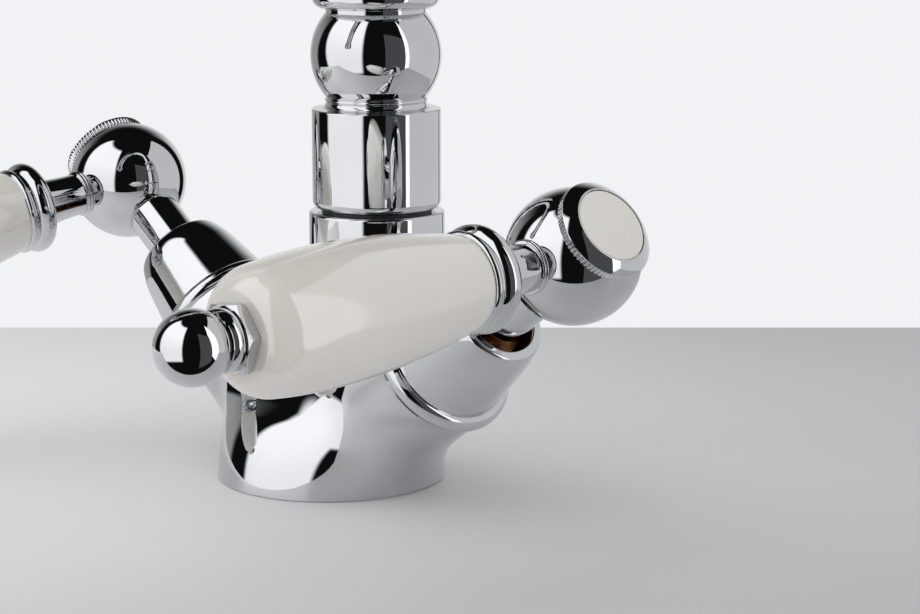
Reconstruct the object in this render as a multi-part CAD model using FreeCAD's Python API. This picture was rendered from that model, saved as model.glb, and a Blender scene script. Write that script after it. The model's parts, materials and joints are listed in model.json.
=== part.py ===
import FreeCAD, Part
import math
import os

"""Two-lever basin mixer tap, in millimetres.

The origin is the centre of the round foot on the deck. +Z is up, -Y is the
front, where the levers and the spout point, and +X is the cold side.
"""

# Main layout
base_diameter = 50.0
valve_tilt = 54.0
ball_offset = 73.3
ball_height = 57.5
cold_rest_angle = 3.0
hot_rest_angle = 11.5
column_setback = 13.8

# Casting
foot_height = 27.4
arm_end_diameter = 30.2
arm_root_diameter = 29.8
arm_root_squareness = 2.9
arm_root_narrowing = 1.1
arm_face_drop = 47.3
neck_diameter = 29.8
neck_drop = 0.4
neck_plain_length = 20.1
neck_foot_height = 19.0
arm_blend = 14.0
foot_blend = 6.0
neck_blend = 10.0

# Underside
gasket_diameter = 45.6
gasket_width = 2.3
gasket_thickness = 1.6
inlet_drill = 9.0
inlet_offset = 12.7392
stud_drill = 6.8
stud_depth = 14.0
stud_setforward = 13.0
mixing_way_back = 8.0
mixing_way_rise = 1.0
waterway_diameter = 7.0

# Valve cover
cover_rim_drop = 24.9
cover_rim_diameter = 20.3
cover_root_diameter = 27.4
cover_bead_height = 3.8
cover_bead_radius = 2.05
cover_bead_diameter = 31.8
cover_root_step = 0.5
cover_bore = 15.9
cover_wall = 2.1
cover_lip = 3.0
cover_rim_round = 1.4
cover_bore_round = 0.6

# Cartridge
thread_diameter = 20.8
headwork_flange_diameter = 22.4
headwork_flange_thickness = 1.2
headwork_hex = 17.0
headwork_hex_height = 5.0
headwork_barrel_diameter = 14.0
headwork_barrel_drop = 29.0
headwork_length = 10.7
headwork_window = 3.6
disc_diameter = 16.4
disc_thickness = 2.2
disc_port_drill = 4.0
disc_port_offset = 4.4
spindle_diameter = 8.0
spindle_drop = 9.4
spindle_foot_height = 1.6
spindle_seal_level = -36.0
seal_section = 1.5
seat_depth = 2.0

# Lever head
ball_diameter = 27.1
ball_top_flat = 9.0
ball_bottom_flat = 12.0
lever_flat = 12.4
shank_diameter = 12.0
shank_end_drop = 26.0
shank_end_round = 1.6
pocket_diameter = 12.0
pocket_floor = 2.0
screw_diameter = 5.0
screw_head_diameter = 9.0
screw_head_height = 3.6
screw_length = 21.0
screw_socket = 4.0
cap_diameter = 20.7
cap_knurl_height = 1.6
cap_edge_height = 0.2
cap_height = 3.6
cap_tooth_count = 72
cap_tooth_depth = 0.35
cap_lip = 0.35
cap_skirt_wall = 1.0
cap_skirt_height = 2.0
disc_face_diameter = 15.2
disc_face_recess = 1.3
disc_face_round = 0.25

# Lever
stud_diameter = 7.8
stud_length = 5.6
neck_ring_diameter = 10.6
neck_ring_height = 1.3
neck_stem_diameter = 9.5
neck_flare_diameter = 11.2
ferrule_start = 24.0
ferrule_big_bead = 20.9
ferrule_big_height = 5.0
ferrule_small_bead = 19.6
ferrule_small_height = 1.5
ferrule_valley = 0.4
ferrule_waist = 18.2
grip_start = 31.0
grip_length = 54.3
grip_collar_diameter = 18.4
grip_diameter = 25.7
grip_crest = 34.4
grip_shoulder = 49.1
grip_shoulder_diameter = 23.8
grip_end_diameter = 16.4
nut_across_flats = 12.0
nut_thickness = 2.4
nut_chamfer = 0.4
finial_ring_diameter = 10.6
finial_ring_height = 2.0
finial_diameter = 13.45
finial_centre = 95.0
rod_diameter = 6.0

# Spout
spigot_diameter = 18.8
spigot_bore = 13.0
spigot_reach = 14.4
spigot_end = 7.0
stop_angle = 75.0
stop_screw_diameter = 4.0
stop_drop = 7.1
stop_groove_depth = 1.1
upper_seal_drop = 7.0
seal_spacing = 10.0
swivel_gap = 0.5
glide_ring_diameter = 24.0
glide_ring_depth = 1.0
column_diameter = 28.2
column_cylinder_height = 21.9
column_edge_round = 1.8
column_neck_diameter = 21.8
column_neck_height = 2.4
column_cove_height = 1.0
column_bead_swell = 0.2
column_top_neck = 0.9
bulb_diameter = 28.5
bulb_height = 18.4
ring_diameter = 27.6
ring_height = 4.6
tube_diameter = 19.0
tube_wall = 1.5
tube_rise = 28.0
arch_radius = 56.0
tube_drop = 8.0
aerator_diameter = 23.0
aerator_length = 12.0
aerator_cover = 6.0
aerator_lip = 1.2
aerator_edge_round = 0.8
aerator_hole = 3.0
aerator_seal_thickness = 1.5

# Clearances
running_clearance = 0.05
seat_clearance = 0.1
face_clearance = 0.3

V = FreeCAD.Vector
ORIGIN = V(0, 0, 0)
UP = V(0, 0, 1)
FRONT = V(0, -1, 0)
ACROSS = FreeCAD.Rotation(UP, V(1, 0, 0))
SIDES = {"cold": 1, "hot": -1}

tilt = math.radians(valve_tilt)
axis_length = ball_offset / math.sin(tilt)
meet_height = ball_height - ball_offset / math.tan(tilt)
arm_length = axis_length - arm_face_drop
column_axis = V(0, column_setback, 0)
rest_angles = {1: cold_rest_angle, -1: hot_rest_angle}

# Levels in the neck, from its top down
neck_top = ball_height - neck_drop
neck_root_height = neck_top - neck_plain_length
stop_height = neck_top - stop_drop
upper_seal_level = stop_height - upper_seal_drop
lower_seal_level = upper_seal_level - seal_spacing
spigot_bottom = lower_seal_level - spigot_end
mixing_way_height = spigot_bottom + mixing_way_rise

# Levels on the valve axis, from the ball centre
arm_face = -arm_face_drop
headwork_bottom = arm_face - headwork_length
seat_level = headwork_bottom - seat_depth
moving_disc_top = headwork_bottom + 2 * disc_thickness + running_clearance
foot_top = moving_disc_top + spindle_foot_height
cavity_top = foot_top + face_clearance
screw_tip = pocket_floor - screw_length

# Levels on the lever, from the ball centre
stud_start = lever_flat - stud_length
rod_start = lever_flat + 2 * neck_ring_height
grip_end = grip_start + grip_length
nut_end = grip_end + nut_thickness

# Waterways
inlet_depth = meet_height + inlet_offset / math.tan(tilt)
inlet_level = inlet_offset / math.sin(tilt) - axis_length
neck_bore = spigot_diameter + 2 * running_clearance
neck_bore_bottom = spigot_bottom - waterway_diameter
gasket_groove_outer = gasket_diameter + 2 * seat_clearance
gasket_groove_inner = gasket_diameter - 2 * gasket_width - 2 * seat_clearance

# Levels on the column axis
column_bottom = neck_top + swivel_gap
spigot_top = column_bottom + spigot_reach
bulb_bottom = column_bottom + column_cylinder_height + column_neck_height
column_top = bulb_bottom + bulb_height + column_top_neck
arch_level = column_top + tube_rise
tube_end = arch_level - tube_drop
aerator_top = tube_end + aerator_cover
aerator_bottom = aerator_top - aerator_length
insert_bottom = aerator_bottom + aerator_lip
insert_top = tube_end - aerator_seal_thickness


def turned(*steps):
    """Solid turned about Z from a closed outline of (radius, height) points.

    A plain step is a straight line to that point. A step of two points is an
    arc through the first of them to the second.
    """
    edges = []
    first = steps[0]
    here = first
    for step in steps[1:] + (first,):
        if isinstance(step[0], tuple):
            through, there = step
            arc = Part.Arc(V(here[0], 0, here[1]), V(through[0], 0, through[1]), V(there[0], 0, there[1]))
            edges.append(arc.toShape())
        else:
            there = step
            if math.dist(here, there) > 1e-6:
                edges.append(Part.makeLine(V(here[0], 0, here[1]), V(there[0], 0, there[1])))
        here = there
    return Part.Face(Part.Wire(edges)).revolve(ORIGIN, UP, 360)


def bead(centre_height, crest, section, foot):
    """Start, crest and end points of a half-round bead that rises from a foot radius to a crest radius."""
    reach = math.sqrt(section**2 - (foot - crest + section)**2)
    start = (foot, centre_height - reach)
    return start, ((crest, centre_height), (foot, centre_height + reach))


def tangent_arc(start, direction, end):
    """Arc step from a start point along a unit direction to an end point."""
    chord = (end[0] - start[0], end[1] - start[1])
    normal = (-direction[1], direction[0])
    side = chord[0] * normal[0] + chord[1] * normal[1]
    radius = (chord[0]**2 + chord[1]**2) / (2 * side)
    centre = (start[0] + radius * normal[0], start[1] + radius * normal[1])
    middle = ((start[0] + end[0]) / 2 - centre[0], (start[1] + end[1]) / 2 - centre[1])
    scale = abs(radius) / math.hypot(*middle)
    return (centre[0] + middle[0] * scale, centre[1] + middle[1] * scale), end


def tube(outer, inner, bottom, top):
    """Ring between two diameters, from one height to another."""
    ring = Part.makeCylinder(outer / 2, top - bottom, V(0, 0, bottom))
    return ring.cut(Part.makeCylinder(inner / 2, top - bottom, V(0, 0, bottom)))


def bar(diameter, bottom, top):
    return Part.makeCylinder(diameter / 2, top - bottom, V(0, 0, bottom))


def hexagon(across_flats, bottom, top):
    """Upright hexagonal prism."""
    radius = across_flats / math.sqrt(3)
    corners = [V(radius * math.cos(math.radians(60 * k)), radius * math.sin(math.radians(60 * k)), bottom)
               for k in range(7)]
    return Part.Face(Part.makePolygon(corners)).extrude(V(0, 0, top - bottom))


def o_ring(outer, section, height):
    """Rubber ring of round section, given by its outer diameter."""
    return Part.makeTorus(outer / 2 - section / 2, section / 2, V(0, 0, height))


# Casting: a foot, two sloping arms and a neck, blended like a sand casting

def arm_direction(side):
    return V(side * math.sin(tilt), 0, math.cos(tilt))


def blend(first, second, width):
    """Smooth smaller value of two distances: a fillet about as wide as the blend."""
    share = max(width - abs(first - second), 0.0) / width
    return min(first, second) - share * share * width / 4


def trunk_distance(x, y, z, arms):
    """Arms on a foot that goes from a circle on the deck over into their section; the deck cuts it."""
    height = max(z, 0.0) / foot_height
    if height >= 1:
        return arms
    share = 0.5 - math.cos(math.pi * height) / 2
    wall = (1 - share) * (math.hypot(x, y) - base_diameter / 2) + share * arms
    return blend(arms, max(wall, -z - base_diameter / 2), foot_blend * (1 - share))


def arm_distance(x, y, z, side):
    """Distance to an arm that starts where the valve axes meet, flat-sided there and round at its end."""
    start = max(side * x * math.sin(tilt) + (z - meet_height) * math.cos(tilt), 0.0)
    share = min(start / arm_length, 1.0)
    power = arm_root_squareness + (2 - arm_root_squareness) * share
    width = y * (arm_root_narrowing + (1 - arm_root_narrowing) * share)
    height = math.hypot(x - side * start * math.sin(tilt), z - meet_height - start * math.cos(tilt))
    off = (height**power + abs(width)**power)**(1 / power)
    return off - arm_root_diameter / 2 - (arm_end_diameter - arm_root_diameter) / 2 * share


def neck_distance(x, y, z):
    """Distance to the round-ended root of the neck, which stands on the arms' crossing."""
    past_end = max(z - neck_root_height, neck_foot_height - z, 0.0)
    return math.hypot(x, y - column_setback, past_end) - neck_diameter / 2 - seat_clearance


def cast_distance(x, y, z):
    arms = blend(arm_distance(x, y, z, 1), arm_distance(x, y, z, -1), arm_blend)
    return blend(trunk_distance(x, y, z, arms), neck_distance(x, y, z), neck_blend)


def cast_surface():
    """Smooth tube from one arm face to the other, found along rays from the middle of the casting.

    Each ring of the tube starts on the cold arm face, each row runs through one
    direction of the middle plane to the hot arm face.
    """
    ring_count = 56
    row_count = 45
    far = 2.5 * arm_length
    centre = V(0, 0.3 * column_setback, meet_height + 0.4 * neck_foot_height)
    pole = (arm_direction(1) * arm_length + V(0, 0, meet_height) - centre).normalize()

    def ray(angle, share):
        """Unit vector on the circle through both poles and the middle-plane direction at an angle."""
        middle = V(0, math.sin(angle), -math.cos(angle))
        base = V(0, pole.y, pole.z)
        rise = (middle - base).Length
        drop = (rise * rise - pole.x * pole.x) / (2 * rise)
        turn = share * math.atan2(pole.x, -drop)
        radius = rise - drop
        reach = (drop + radius * math.cos(turn)) / rise
        return base + (middle - base) * reach + V(radius * math.sin(turn), 0, 0)

    def hit(direction):
        inside, outside = 0.0, far
        for _ in range(40):
            trial = (inside + outside) / 2
            point = centre + direction * trial
            if cast_distance(point.x, point.y, point.z) < 0:
                inside = trial
            else:
                outside = trial
        return centre + direction * inside

    def edge_share(angle):
        low, high = 0.3, 0.99
        for _ in range(30):
            share = (low + high) / 2
            if (hit(ray(angle, share)) - V(0, 0, meet_height)).dot(arm_direction(1)) < arm_length:
                low = share
            else:
                high = share
        return low

    rows = []
    for k in range(ring_count):
        angle = 2 * math.pi * k / ring_count
        last = edge_share(angle)
        half = [hit(ray(angle, last * j / (row_count // 2))) for j in range(row_count // 2 + 1)]
        short = (half[-1] - V(0, 0, meet_height)).dot(arm_direction(1)) - arm_length
        half[-1] = half[-1] - arm_direction(1) * short
        rows.append([V(-p.x, p.y, p.z) for p in reversed(half[1:])] + half)
    return spline_tube(rows)


def spline_tube(rows):
    """Cubic surface, closed one way, whose poles are moved until it passes through a grid of points."""
    degree = 3
    around, along = len(rows), len(rows[0])
    spans = along - degree
    knots = [k / spans for k in range(spans + 1)]
    knot_counts = [degree + 1] + [1] * (spans - 1) + [degree + 1]
    all_knots = [0.0] * degree + knots + [1.0] * degree
    along_sites = [sum(all_knots[j + 1:j + 1 + degree]) / degree for j in range(along)]
    around_knots = [k / around for k in range(around + 1)]
    around_sites = [((k - 1) % around) / around for k in range(around)]
    poles = [list(row) for row in rows]
    surface = Part.BSplineSurface()
    for _ in range(8):
        surface.buildFromPolesMultsKnots(
            poles, [1] * (around + 1), knot_counts, around_knots, knots, True, False, degree, degree)
        for i in range(around):
            for j in range(along):
                poles[i][j] = poles[i][j] + rows[i][j] - surface.value(around_sites[i], along_sites[j])
    return surface


def make_cast_solid():
    """The blended casting, cut flat where it stands on the deck, with the turned neck on top."""
    side_wall = cast_surface().toShape()
    faces = [side_wall] + [Part.Face(Part.Wire([edge])) for edge in side_wall.Edges if edge.isClosed()]
    shell = Part.makeShell(faces)
    shell.sewShape()
    solid = Part.makeSolid(shell)
    size = 4 * ball_offset
    solid = solid.cut(Part.makeBox(size, size, size, V(-size / 2, -size / 2, -size)))
    neck = bar(neck_diameter, neck_foot_height, neck_top).translated(column_axis)
    return solid.fuse(neck)


def make_body():
    cuts = [bar(neck_bore, neck_bore_bottom, neck_top).translated(column_axis)]
    cuts.append(bar(glide_ring_diameter + 2 * seat_clearance, neck_top - glide_ring_depth, neck_top)
                .translated(column_axis))
    cuts.append(tube(gasket_groove_outer, gasket_groove_inner, 0, gasket_thickness))
    cuts.append(bar(stud_drill, 0, stud_depth).translated(FRONT * stud_setforward))
    cuts.append(on_neck_back(bar(stop_screw_diameter, 0, neck_diameter)))
    mixing_way = bar(waterway_diameter, -arm_length / 2, arm_length / 2)
    mixing_way.Placement = FreeCAD.Placement(V(0, mixing_way_back, mixing_way_height), ACROSS)
    cuts.append(mixing_way)
    for side in SIDES.values():
        cuts.append(on_valve(bar(thread_diameter, seat_level, arm_face), side))
        cuts.append(on_valve(bar(waterway_diameter, inlet_level, seat_level), side))
        cuts.append(bar(inlet_drill, 0, inlet_depth).translated(V(side * inlet_offset, 0, 0)))
    return make_cast_solid().cut(cuts)


def make_gasket():
    return tube(gasket_diameter, gasket_diameter - 2 * gasket_width, 0, gasket_thickness)


# Placing: valve pieces and lever pieces are made along Z, with the ball centre at zero

def on_valve(shape, side):
    """Stand a valve piece on its arm: Z goes out along the valve axis and -Y along the lever."""
    out = arm_direction(side)
    down = V(side * math.cos(tilt), 0, -math.sin(tilt))
    rest = math.radians(rest_angles[side])
    back = (FRONT * math.cos(rest) + down * math.sin(rest)) * -1
    turn = FreeCAD.Rotation(back.cross(out), back, out, "ZYX")
    centre = V(side * ball_offset, 0, ball_height)
    placed = shape.copy()
    placed.Placement = FreeCAD.Placement(centre, turn).multiply(shape.Placement)
    return placed


def on_lever(shape, side):
    lever = shape.copy()
    lever.Placement = FreeCAD.Placement(ORIGIN, FreeCAD.Rotation(UP, FRONT)).multiply(shape.Placement)
    return on_valve(lever, side)


def on_neck_back(shape):
    """Lay a piece made along Z on the radial line at the back of the neck, at the height of the stop."""
    turned_back = shape.copy()
    turned_back.Placement = FreeCAD.Placement(
        column_axis + V(0, 0, stop_height), FreeCAD.Rotation(UP, V(0, 1, 0))).multiply(shape.Placement)
    return turned_back


# Valve pieces that stay on the body

def make_cover():
    """Tapered sleeve with a half-round bead at its foot, a rounded rim and an open bore."""
    rim = -cover_rim_drop
    rim_radius = cover_rim_diameter / 2
    root_radius = cover_root_diameter / 2
    bore_radius = cover_bore / 2
    bead_top = arm_face + cover_bead_height
    bead_centre = (cover_bead_diameter / 2 - cover_bead_radius, bead_top - cover_bead_radius)
    foot_reach = math.sqrt(cover_bead_radius**2 - (bead_centre[1] - arm_face)**2)
    corner = cover_rim_round * (1 - math.sqrt(0.5))
    inner_corner = cover_bore_round * (1 - math.sqrt(0.5))
    return turned(
        (root_radius - cover_wall, arm_face),
        (bead_centre[0] + foot_reach, arm_face),
        ((bead_centre[0] + cover_bead_radius, bead_centre[1]), (bead_centre[0], bead_top)),
        (root_radius, bead_top + cover_root_step),
        (rim_radius, rim - cover_rim_round),
        ((rim_radius - corner, rim - corner), (rim_radius - cover_rim_round, rim)),
        (bore_radius + cover_bore_round, rim),
        ((bore_radius + inner_corner, rim - inner_corner), (bore_radius, rim - cover_bore_round)),
        (bore_radius, rim - cover_lip),
        (root_radius - cover_wall, bead_top))


def make_headwork():
    """Brass cartridge body: threaded end, flange on the arm face, hexagon and a barrel for the spindle."""
    flange_top = arm_face + headwork_flange_thickness
    hex_top = flange_top + headwork_hex_height
    work = bar(thread_diameter - 2 * seat_clearance, headwork_bottom, arm_face)
    work = work.fuse([
        bar(headwork_flange_diameter, arm_face, flange_top),
        hexagon(headwork_hex, flange_top, hex_top),
        bar(headwork_barrel_diameter, hex_top, -headwork_barrel_drop)])
    window = bar(headwork_window, -thread_diameter, thread_diameter)
    window.Placement = FreeCAD.Placement(V(0, 0, foot_top - headwork_window / 2), ACROSS)
    return work.cut([
        bar(disc_diameter + 2 * running_clearance, headwork_bottom, cavity_top),
        bar(spindle_diameter + 2 * running_clearance, cavity_top, -headwork_barrel_drop),
        window])


def make_disc(bottom, port_angle):
    """Ceramic disc with two round ports on a line across it."""
    disc = bar(disc_diameter, bottom, bottom + disc_thickness)
    angle = math.radians(port_angle)
    across = V(math.cos(angle), math.sin(angle), 0) * disc_port_offset
    port = bar(disc_port_drill, bottom, bottom + disc_thickness)
    return disc.cut([port.translated(across), port.translated(across * -1)])


def make_seat_seal():
    return tube(disc_diameter, waterway_diameter, seat_level, headwork_bottom)


# Lever pieces

def make_spindle():
    """Spindle with a foot that drives the moving disc, a seal groove and a tapped top."""
    foot_diameter = disc_diameter - 2 * seat_clearance
    spindle = bar(spindle_diameter, foot_top, -spindle_drop)
    spindle = spindle.fuse(bar(foot_diameter, moving_disc_top, foot_top))
    groove = tube(spindle_diameter, spindle_diameter - 2 * seal_section,
                  spindle_seal_level - seal_section / 2, spindle_seal_level + seal_section / 2)
    thread = bar(screw_diameter, screw_tip - screw_diameter / 2, -spindle_drop)
    return spindle.cut([groove, thread])


def make_shank():
    """Plain sleeve under the ball, rounded at its lower end."""
    radius = shank_diameter / 2
    corner = shank_end_round * (1 - math.sqrt(0.5))
    bore = spindle_diameter / 2 + running_clearance
    low = -shank_end_drop
    return turned(
        (bore, low),
        (radius - shank_end_round, low),
        ((radius - corner, low + corner), (radius, low + shank_end_round)),
        (radius, -ball_bottom_flat),
        (bore, -ball_bottom_flat))


def make_ball_hub():
    """Ball with flats for the cap, the shank and the lever, and the pocket of the fixing screw."""
    ball = Part.makeSphere(ball_diameter / 2)
    slab = bar(2 * ball_diameter, -ball_bottom_flat, ball_top_flat)
    seat = Part.makeBox(ball_diameter, ball_diameter, ball_diameter,
                        V(-ball_diameter / 2, -lever_flat - ball_diameter, -ball_diameter / 2))
    stud = bar(stud_diameter, stud_start, lever_flat)
    stud.Placement = FreeCAD.Placement(ORIGIN, FreeCAD.Rotation(UP, FRONT))
    return ball.common(slab).cut([
        seat, stud,
        bar(pocket_diameter, pocket_floor, ball_top_flat),
        bar(spindle_diameter + 2 * running_clearance, -ball_bottom_flat, -spindle_drop + seat_clearance),
        bar(screw_diameter + 2 * seat_clearance, -ball_bottom_flat, pocket_floor)])


def make_fixing_screw():
    head = bar(screw_head_diameter, pocket_floor, pocket_floor + screw_head_height)
    socket = hexagon(screw_socket, pocket_floor + screw_head_height / 2, pocket_floor + screw_head_height)
    return head.cut(socket).fuse(bar(screw_diameter - 2 * running_clearance, screw_tip, pocket_floor))


def make_index_cap():
    """Cap with a knurled edge, a flat bevel, a recess for the disc and a skirt that fits the pocket."""
    radius = cap_diameter / 2
    knurl_top = ball_top_flat + cap_knurl_height
    cap_top = ball_top_flat + cap_height
    points = []
    for k in range(2 * cap_tooth_count + 1):
        reach = radius - cap_tooth_depth * (k % 2)
        angle = math.pi * k / cap_tooth_count
        points.append(V(reach * math.cos(angle), reach * math.sin(angle), ball_top_flat))
    knurl = Part.Face(Part.makePolygon(points)).extrude(V(0, 0, cap_knurl_height))
    lip = disc_face_diameter / 2 + cap_lip
    crown = turned(
        (0, knurl_top),
        (radius, knurl_top),
        (radius, knurl_top + cap_edge_height),
        (lip, cap_top),
        (0, cap_top))
    skirt = tube(pocket_diameter - 2 * seat_clearance, pocket_diameter - 2 * cap_skirt_wall,
                 ball_top_flat - cap_skirt_height, ball_top_flat)
    recess = bar(disc_face_diameter + 2 * seat_clearance, cap_top - disc_face_recess, cap_top)
    return knurl.fuse([crown, skirt]).cut(recess)


def make_index_disc():
    """Thin porcelain disc with a rounded rim, bare of any mark."""
    radius = disc_face_diameter / 2
    top = ball_top_flat + cap_height
    bottom = top - disc_face_recess
    corner = disc_face_round * (1 - math.sqrt(0.5))
    return turned(
        (0, bottom),
        (radius, bottom),
        (radius, top - disc_face_round),
        ((radius - corner, top - corner), (radius - disc_face_round, top)),
        (0, top))


def make_lever_neck():
    """Turned neck: a stud for the ball, two small beads and a flared stem, drilled for the rod."""
    stem = neck_stem_diameter / 2
    section = neck_ring_height / 2
    first, first_bead = bead(lever_flat + section, neck_ring_diameter / 2, section, stem)
    second, second_bead = bead(lever_flat + 3 * section, neck_ring_diameter / 2, section, stem)
    rod = rod_diameter / 2 + running_clearance
    return turned(
        (0, stud_start),
        (stud_diameter / 2 - running_clearance, stud_start),
        (stud_diameter / 2 - running_clearance, lever_flat),
        (stem, lever_flat),
        first, first_bead, second, second_bead,
        tangent_arc(second_bead[1], (0, 1), (neck_flare_diameter / 2, ferrule_start)),
        (rod, ferrule_start),
        (rod, rod_start),
        (0, rod_start))


def make_ferrule():
    """Ferrule of the porcelain: a big bead, a waist and a small bead."""
    waist = ferrule_waist / 2
    big_section = ferrule_big_height / 2
    big_crest = ferrule_big_bead / 2
    small_section = ferrule_small_height / 2
    big_centre = ferrule_start + big_section
    small_centre = big_centre + big_section + ferrule_valley + small_section
    big_end = bead(big_centre, big_crest, big_section, waist)[1][1]
    small_start, small_bead = bead(small_centre, ferrule_small_bead / 2, small_section, waist)
    rod = rod_diameter / 2 + running_clearance
    return turned(
        (rod, ferrule_start),
        (big_crest - big_section, ferrule_start),
        ((big_crest, big_centre), big_end),
        small_start, small_bead,
        (waist, grip_start),
        (rod, grip_start))


def make_grip():
    """Porcelain barrel: swells from the ferrule to its thickest place and rounds off to the nut."""
    collar = (grip_collar_diameter / 2, grip_start)
    thickest = (grip_diameter / 2, grip_start + grip_crest)
    shoulder = (grip_shoulder_diameter / 2, grip_start + grip_shoulder)
    end = (grip_end_diameter / 2, grip_end)
    swell = tangent_arc(thickest, (0, -1), collar)[0]
    taper = tangent_arc(thickest, (0, 1), shoulder)
    turn = 2 * math.atan2(thickest[0] - shoulder[0], shoulder[1] - thickest[1])
    round_off = tangent_arc(shoulder, (-math.sin(turn), math.cos(turn)), end)
    bore = rod_diameter / 2 + face_clearance
    return turned((bore, grip_start), collar, (swell, thickest), taper, round_off, (bore, grip_end))


def make_end_nut():
    """Hexagon nut, chamfered on both faces."""
    nut = hexagon(nut_across_flats, grip_end, nut_end)
    corner = nut_across_flats / math.sqrt(3)
    limits = turned(
        (0, grip_end), (corner - nut_chamfer, grip_end), (corner, grip_end + nut_chamfer),
        (corner, nut_end - nut_chamfer), (corner - nut_chamfer, nut_end), (0, nut_end))
    return nut.common(limits).cut(bar(rod_diameter + 2 * running_clearance, grip_end, nut_end))


def make_finial():
    """Ball on a small round-edged ring, drilled for the rod."""
    section = finial_ring_height / 2
    ring = finial_ring_diameter / 2
    ball = finial_diameter / 2
    foot = finial_ring_diameter / 2 - section
    ring_top = nut_end + finial_ring_height
    join = finial_centre - math.sqrt(ball**2 - foot**2)
    tip = finial_centre + ball
    rod = rod_diameter / 2 + running_clearance
    return turned(
        (rod, nut_end),
        (foot, nut_end),
        ((ring, nut_end + section), (foot, ring_top)),
        (foot, join),
        ((ball, finial_centre), (0, tip)),
        (0, finial_centre),
        (rod, finial_centre))


def make_lever_rod():
    return bar(rod_diameter, rod_start, finial_centre)


# Spout pieces, made on the column axis

def make_spigot():
    """Tube that turns in the neck, with two seal grooves and the stop groove for the retaining screw."""
    spigot = tube(spigot_diameter, spigot_bore, spigot_bottom, spigot_top)
    groove_floor = spigot_diameter - 2 * seal_section
    cuts = [tube(spigot_diameter, groove_floor, level - seal_section / 2, level + seal_section / 2)
            for level in (lower_seal_level, upper_seal_level)]
    floor = spigot_diameter / 2 - stop_groove_depth
    half_width = stop_screw_diameter / 2 + face_clearance
    half_turn = stop_angle + math.degrees(math.asin(half_width / floor))
    section = Part.makePolygon([
        V(floor, 0, stop_height - half_width), V(spigot_diameter, 0, stop_height - half_width),
        V(spigot_diameter, 0, stop_height + half_width), V(floor, 0, stop_height + half_width),
        V(floor, 0, stop_height - half_width)])
    groove = Part.Face(section).revolve(ORIGIN, UP, 2 * half_turn)
    groove.rotate(ORIGIN, UP, 90 - half_turn)
    cuts.append(groove)
    return spigot.cut(cuts)


def make_retaining_screw():
    """Grub screw from the back of the neck into the stop groove."""
    tip = spigot_diameter / 2 - stop_groove_depth + face_clearance
    head = neck_diameter / 2 - seat_clearance
    screw = bar(stop_screw_diameter, tip, head)
    return screw.cut(hexagon(stop_screw_diameter / 2, head - stop_screw_diameter / 2, head))


def make_glide_ring():
    """Ring sunk in the top of the neck, which carries the column."""
    top = column_bottom - running_clearance
    return tube(glide_ring_diameter, neck_bore, neck_top - glide_ring_depth, top)


def make_column():
    """Turned column: cylinder, coved shoulder, neck bead and truncated ball."""
    radius = column_diameter / 2
    neck = column_neck_diameter / 2
    corner = column_edge_round * (1 - math.sqrt(0.5))
    cylinder_top = column_bottom + column_cylinder_height
    cove_top = cylinder_top + column_cove_height
    bead_section = (bulb_bottom - cove_top) / 2
    bead_start, bead_arc = bead(cove_top + bead_section, neck + column_bead_swell, bead_section, neck)
    spigot = spigot_diameter / 2 + running_clearance
    return turned(
        (spigot, column_bottom),
        (radius - column_edge_round, column_bottom),
        ((radius - corner, column_bottom + corner), (radius, column_bottom + column_edge_round)),
        (radius, cylinder_top),
        tangent_arc((radius, cylinder_top), (-1, 0), (neck, cove_top)),
        bead_start, bead_arc,
        (neck, bulb_bottom),
        ((bulb_diameter / 2, bulb_bottom + bulb_height / 2), (neck, bulb_bottom + bulb_height)),
        (neck, column_top),
        (spigot_bore / 2, column_top),
        (spigot_bore / 2, spigot_top),
        (spigot, spigot_top))


def make_spout_ring():
    """Bead between the column and the tube."""
    inner = tube_diameter / 2 + running_clearance
    crest = ring_diameter / 2
    section = ring_height / 2
    return turned(
        (inner, column_top),
        (crest - section, column_top),
        ((crest, column_top + section), (crest - section, column_top + ring_height)),
        (inner, column_top + ring_height))


def make_spout_tube():
    """Swan neck: an upright leg, a half circle forward and a short drop."""
    foot = V(0, 0, column_top)
    shoulder = V(0, 0, arch_level)
    crown = V(0, -arch_radius, arch_level + arch_radius)
    turned_down = V(0, -2 * arch_radius, arch_level)
    mouth = V(0, -2 * arch_radius, tube_end)
    path = Part.Wire([
        Part.LineSegment(foot, shoulder).toShape(),
        Part.Arc(shoulder, crown, turned_down).toShape(),
        Part.LineSegment(turned_down, mouth).toShape()])
    sweeps = [path.makePipeShell([Part.Wire(Part.makeCircle(size / 2, foot))], True, True)
              for size in (tube_diameter, tube_diameter - 2 * tube_wall)]
    return sweeps[0].cut(sweeps[1])


def make_aerator_housing():
    """Screw-on housing with a rounded top edge and an inner lip that carries the insert."""
    outer = aerator_diameter / 2
    bore = tube_diameter / 2 + running_clearance
    corner = aerator_edge_round * (1 - math.sqrt(0.5))
    lip = bore - aerator_lip
    return turned(
        (lip, aerator_bottom),
        (outer - aerator_edge_round, aerator_bottom),
        ((outer - corner, aerator_bottom + corner), (outer, aerator_bottom + aerator_edge_round)),
        (outer, aerator_top - aerator_edge_round),
        ((outer - corner, aerator_top - corner), (outer - aerator_edge_round, aerator_top)),
        (bore, aerator_top),
        (bore, insert_bottom),
        (lip, insert_bottom))


def make_aerator_insert():
    """Insert with one hole in the middle and six round it."""
    insert = bar(tube_diameter, insert_bottom, insert_top)
    hole = bar(aerator_hole, insert_bottom, insert_top)
    angles = [math.radians(60 * k) for k in range(6)]
    ring = [hole.translated(V(math.cos(a), math.sin(a), 0) * tube_diameter / 4) for a in angles]
    return insert.cut([hole] + ring)


def make_aerator_seal():
    return tube(tube_diameter, tube_diameter - 2 * tube_wall, insert_top, tube_end)


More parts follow.
